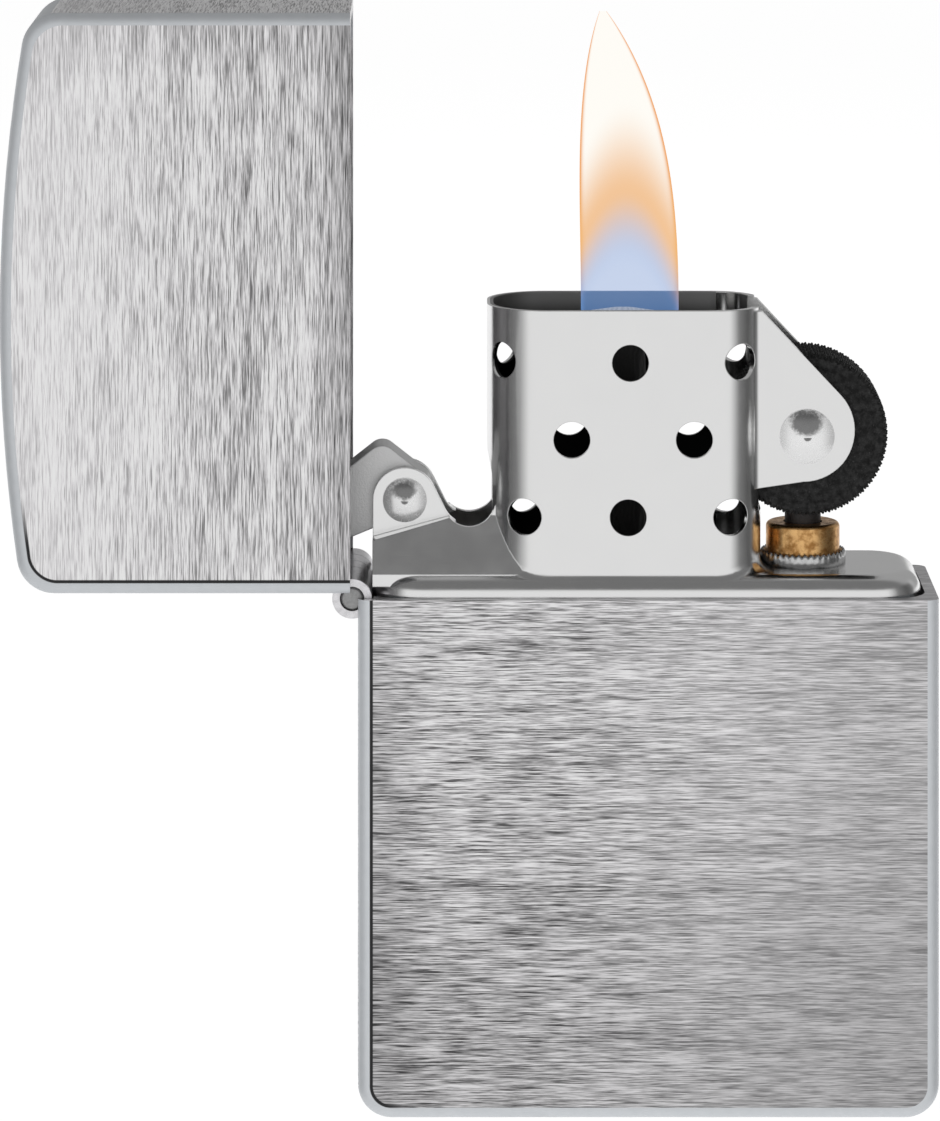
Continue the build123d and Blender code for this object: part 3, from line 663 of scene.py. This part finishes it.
def dress_frame():
    """Materials of the CAD nodes that stay as they are."""
    looks = {
        "case_shell": brushed_metal("brushed_case", case_look, 3.0),
        "lid_shell": brushed_metal("brushed_lid", lid_look, 31.0),
        "hinge_pin": satin_steel("cut_pin_end", (0.42, 0.42, 0.42), 0.5, 6.0),
        "insert_shell": polished_sheet(),
        "deck_plate": satin_steel("deck_steel", (0.45, 0.45, 0.45), 0.4, 2.0),
        "lid_cam": sintered_steel(),
        "flint": satin_steel("flint_alloy", (0.09, 0.085, 0.085), 0.6, 5.0),
        "cotton_packing": cotton("cotton_wool", (0.90, 0.89, 0.86), 2.0),
        "felt_pad": cotton("grey_felt", (0.74, 0.73, 0.70), 5.0),
    }
    shared = (
        (satin_steel("hinge_steel", (0.86, 0.85, 0.87), 0.32), ("lower_hinge_leaf", "upper_hinge_leaf")),
        (rivet_dome(), ("cam_rivet", "wheel_axle", "cam_spring_rivet")),
        (turned_brass(), ("flint_tube", "spring_tip", "flint_screw")),
        (satin_steel("spring_steel", (0.62, 0.62, 0.64), 0.30), ("cam_spring", "flint_spring")),
    )
    for made, nodes in shared:
        looks.update((node, made) for node in nodes)
    for node, made in looks.items():
        paint(node, made)


def stand_in(piece, node, body):
    """Let a piece stand for a CAD node and ride on that node's body."""
    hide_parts(node)
    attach(piece, body)


def build_wheel():
    wheel = new_piece("knurled_wheel", flint_wheel_mesh, black_steel(), smooth=False)
    stand_in(wheel, "flint_wheel", "wheel_body")


def build_collar():
    steel = satin_steel("crimped_steel", (0.66, 0.66, 0.66), 0.22)
    collar = new_piece("crimped_collar", collar_mesh, steel)
    stand_in(collar, "tube_collar", "case_body")


def build_wick():
    white = cotton("wick_cotton", (0.93, 0.92, 0.90), 4.0, painted_shade_below=True)
    wick = new_piece("braided_wick", wick_mesh, white)
    stand_in(wick, "wick", "case_body")


def build_coil():
    """The flint's coil spring, standing in for the frame's flint spring, on a mesh of its own."""
    coil = new_piece("coil_spring", coil_mesh, satin_steel("coil_steel", (0.62, 0.62, 0.63), 0.28))
    stand_in(coil, "flint_spring", "case_body")
    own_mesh(coil)


# --- studio -------------------------------------------------------------------------------
# the light tent's brightness, by share of a half turn from the front
TENT = ((0.0, 0.80), (0.20, 0.80), (0.34, 0.20), (0.50, 0.09), (0.60, 0.16),
        (0.68, 0.55), (0.74, 0.55), (0.82, 0.50), (1.0, 0.66))


def studio_world():
    """White to the camera; for the metal, a light tent with dark flanks and a dim ceiling."""
    world = bpy.data.worlds.new("studio")
    bpy.context.scene.world = world
    world.use_nodes = True
    g = Graph(world.node_tree)
    x, y, z = g.split(g.add("TexCoord").outputs["Generated"])
    turn = g.math("ARCTAN2", g.math("ABSOLUTE", x), g.math("MULTIPLY", y, -1.0))
    ramp = g.add("ValToRGB", {0: g.math("DIVIDE", turn, math.pi)})
    elements = ramp.color_ramp.elements
    while len(elements) < len(TENT):
        elements.new(0.5)
    for element, (place, value) in zip(elements, TENT):
        element.position = place
        element.color = (value, value, value, 1)
    overhead = g.step(y, -0.10, 0.25, 0.17, 0.34)
    behind = g.step(y, 0.3, 0.7)
    level = g.mix(behind, ramp.outputs[0], 0.34)
    level = g.mix(g.step(z, 0.42, 0.60), level, overhead)
    level = g.mix(g.math("MULTIPLY", g.step(z, 0.08, 0.02), behind), level, 0.95)
    level = g.mix(g.step(z, -0.35, -0.7), level, 0.72)
    colour = g.mix(g.add("LightPath").outputs["Is Camera Ray"], level, 1.0)
    g.output(g.add("Background", {0: colour, 1: 1.0}).outputs[0], "OutputWorld")


def studio_floor():
    """A plain white floor that shows only a faint contact shadow, unseen by the metal."""
    made, g = material("studio_floor")
    glow = g.add("Emission", {0: (1, 1, 1), 1: 0.90}).outputs[0]
    matt = g.add("BsdfDiffuse", {0: (0.30, 0.30, 0.30)}).outputs[0]
    g.output(g.add("AddShader", {0: glow, 1: matt}).outputs[0])
    half = 3.0
    floor = new_piece("floor", lambda bm: bmesh.ops.create_grid(bm, size=half), made, smooth=False)
    # a hair below the case, so that the two faces don't flicker
    floor.location.z = CASE_LOW.z - 0.02 * MM
    floor.visible_glossy = False


def flame_glow():
    """Clear blue at the foot, then white-hot with an orange skin."""
    made, g = material("flame_glow")
    x, y, z = g.object_mm()
    rise = g.math("SUBTRACT", z, CHIMNEY_TOP / MM)
    edge = g.add("LayerWeight", {0: 0.5}).outputs[1]
    skin = g.step(edge, 0.30, 0.75)
    off = g.math("ABSOLUTE", g.math("ADD", x, 1.3))
    cone = g.math("ADD", rise, g.math("MULTIPLY", g.math("MULTIPLY", off, off), 0.38))
    hot = g.mix(skin, (1.0, 0.97, 0.90), (0.85, 0.32, 0.04))
    amber = g.mix(g.step(cone, 7.0, 13.5), (0.86, 0.42, 0.10), hot)
    colour = g.mix(g.step(cone, 3.0, 7.5), (0.16, 0.32, 0.66), amber)
    body = g.step(cone, 2.0, 8.0, 0.50, 0.85)
    cover = g.math("MULTIPLY", g.math("ADD", body, g.math("MULTIPLY", skin, 0.25)), 0.62)
    clear = g.add("BsdfTransparent").outputs[0]
    light = g.add("Emission", {0: colour, 1: 1.0}).outputs[0]
    g.output(g.add("MixShader", {0: cover, 1: clear, 2: light}).outputs[0])
    return made


def stage_flame():
    """The flame of the lit lighter, as set dressing, on a mesh of its own."""
    flame = new_piece("flame", flame_mesh, flame_glow())
    flame.visible_shadow = False
    flame.visible_glossy = False
    flame.visible_diffuse = False
    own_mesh(flame)


def area_light(name, place, target, size, power):
    """A square softbox that faces a point."""
    data = bpy.data.lights.new(name, "AREA")
    data.shape = "SQUARE"
    data.size = size
    data.energy = power
    lamp = bpy.data.objects.new(name, data)
    lamp.visible_glossy = False
    bpy.context.scene.collection.objects.link(lamp)
    lamp.location = place
    lamp.rotation_euler = (Vector(target) - Vector(place)).to_track_quat("-Z", "Y").to_euler()


def studio_camera():
    """A long lens, level and square to the case's front, shifted to look down on it."""
    data = bpy.data.cameras.new("camera")
    camera = bpy.data.objects.new("camera", data)
    bpy.context.scene.collection.objects.link(camera)
    bpy.context.scene.camera = camera
    data.sensor_width = SENSOR
    data.lens = SENSOR * CAMERA_DISTANCE / FRAME_HEIGHT
    data.clip_start = 0.01
    camera.location = (CAMERA_X, CASE_LOW.y - CAMERA_DISTANCE, CAMERA_Z)
    camera.rotation_euler = (math.pi / 2, 0, 0)
    keep_shift(camera, "shift_x", (FRAME_MIDDLE[0] - CAMERA_X) / FRAME_HEIGHT)
    keep_shift(camera, "shift_y", (FRAME_MIDDLE[1] - CAMERA_Z) / FRAME_HEIGHT)


def keep_shift(camera, prop, value):
    """Shift the lens at the camera's own height; at other heights the lens is unshifted."""
    curve = camera.data.driver_add(prop)
    while curve.modifiers:
        curve.modifiers.remove(curve.modifiers[0])
    curve.driver.type = "SUM"
    level = curve.driver.variables.new()
    level.type = "TRANSFORMS"
    level.targets[0].id = camera
    level.targets[0].transform_type = "LOC_Z"
    # offset from the camera's own height, and the shift there; the keys lie so close
    # together that curve.update() would merge them, so it isn't called
    offsets = ((-2 * MM, 0.0), (-1 * MM, value), (1 * MM, value), (2 * MM, 0.0))
    points = [(CAMERA_Z + offset, shift) for offset, shift in offsets]
    curve.keyframe_points.add(len(points))
    for key, place in zip(curve.keyframe_points, points):
        key.co = place
        key.interpolation = "LINEAR"


def main():
    dress_frame()
    build_wheel()
    build_collar()
    build_wick()
    build_coil()
    studio_world()
    studio_floor()
    stage_flame()
    middle = (0, 0, 0.03)
    area_light("key", (-0.15, -0.35, 0.45), middle, size=0.30, power=0.6)
    area_light("back", (0.10, 0.40, 0.35), middle, size=0.25, power=0.2)
    studio_camera()
    bpy.context.scene.view_settings.view_transform = "Standard"


main()
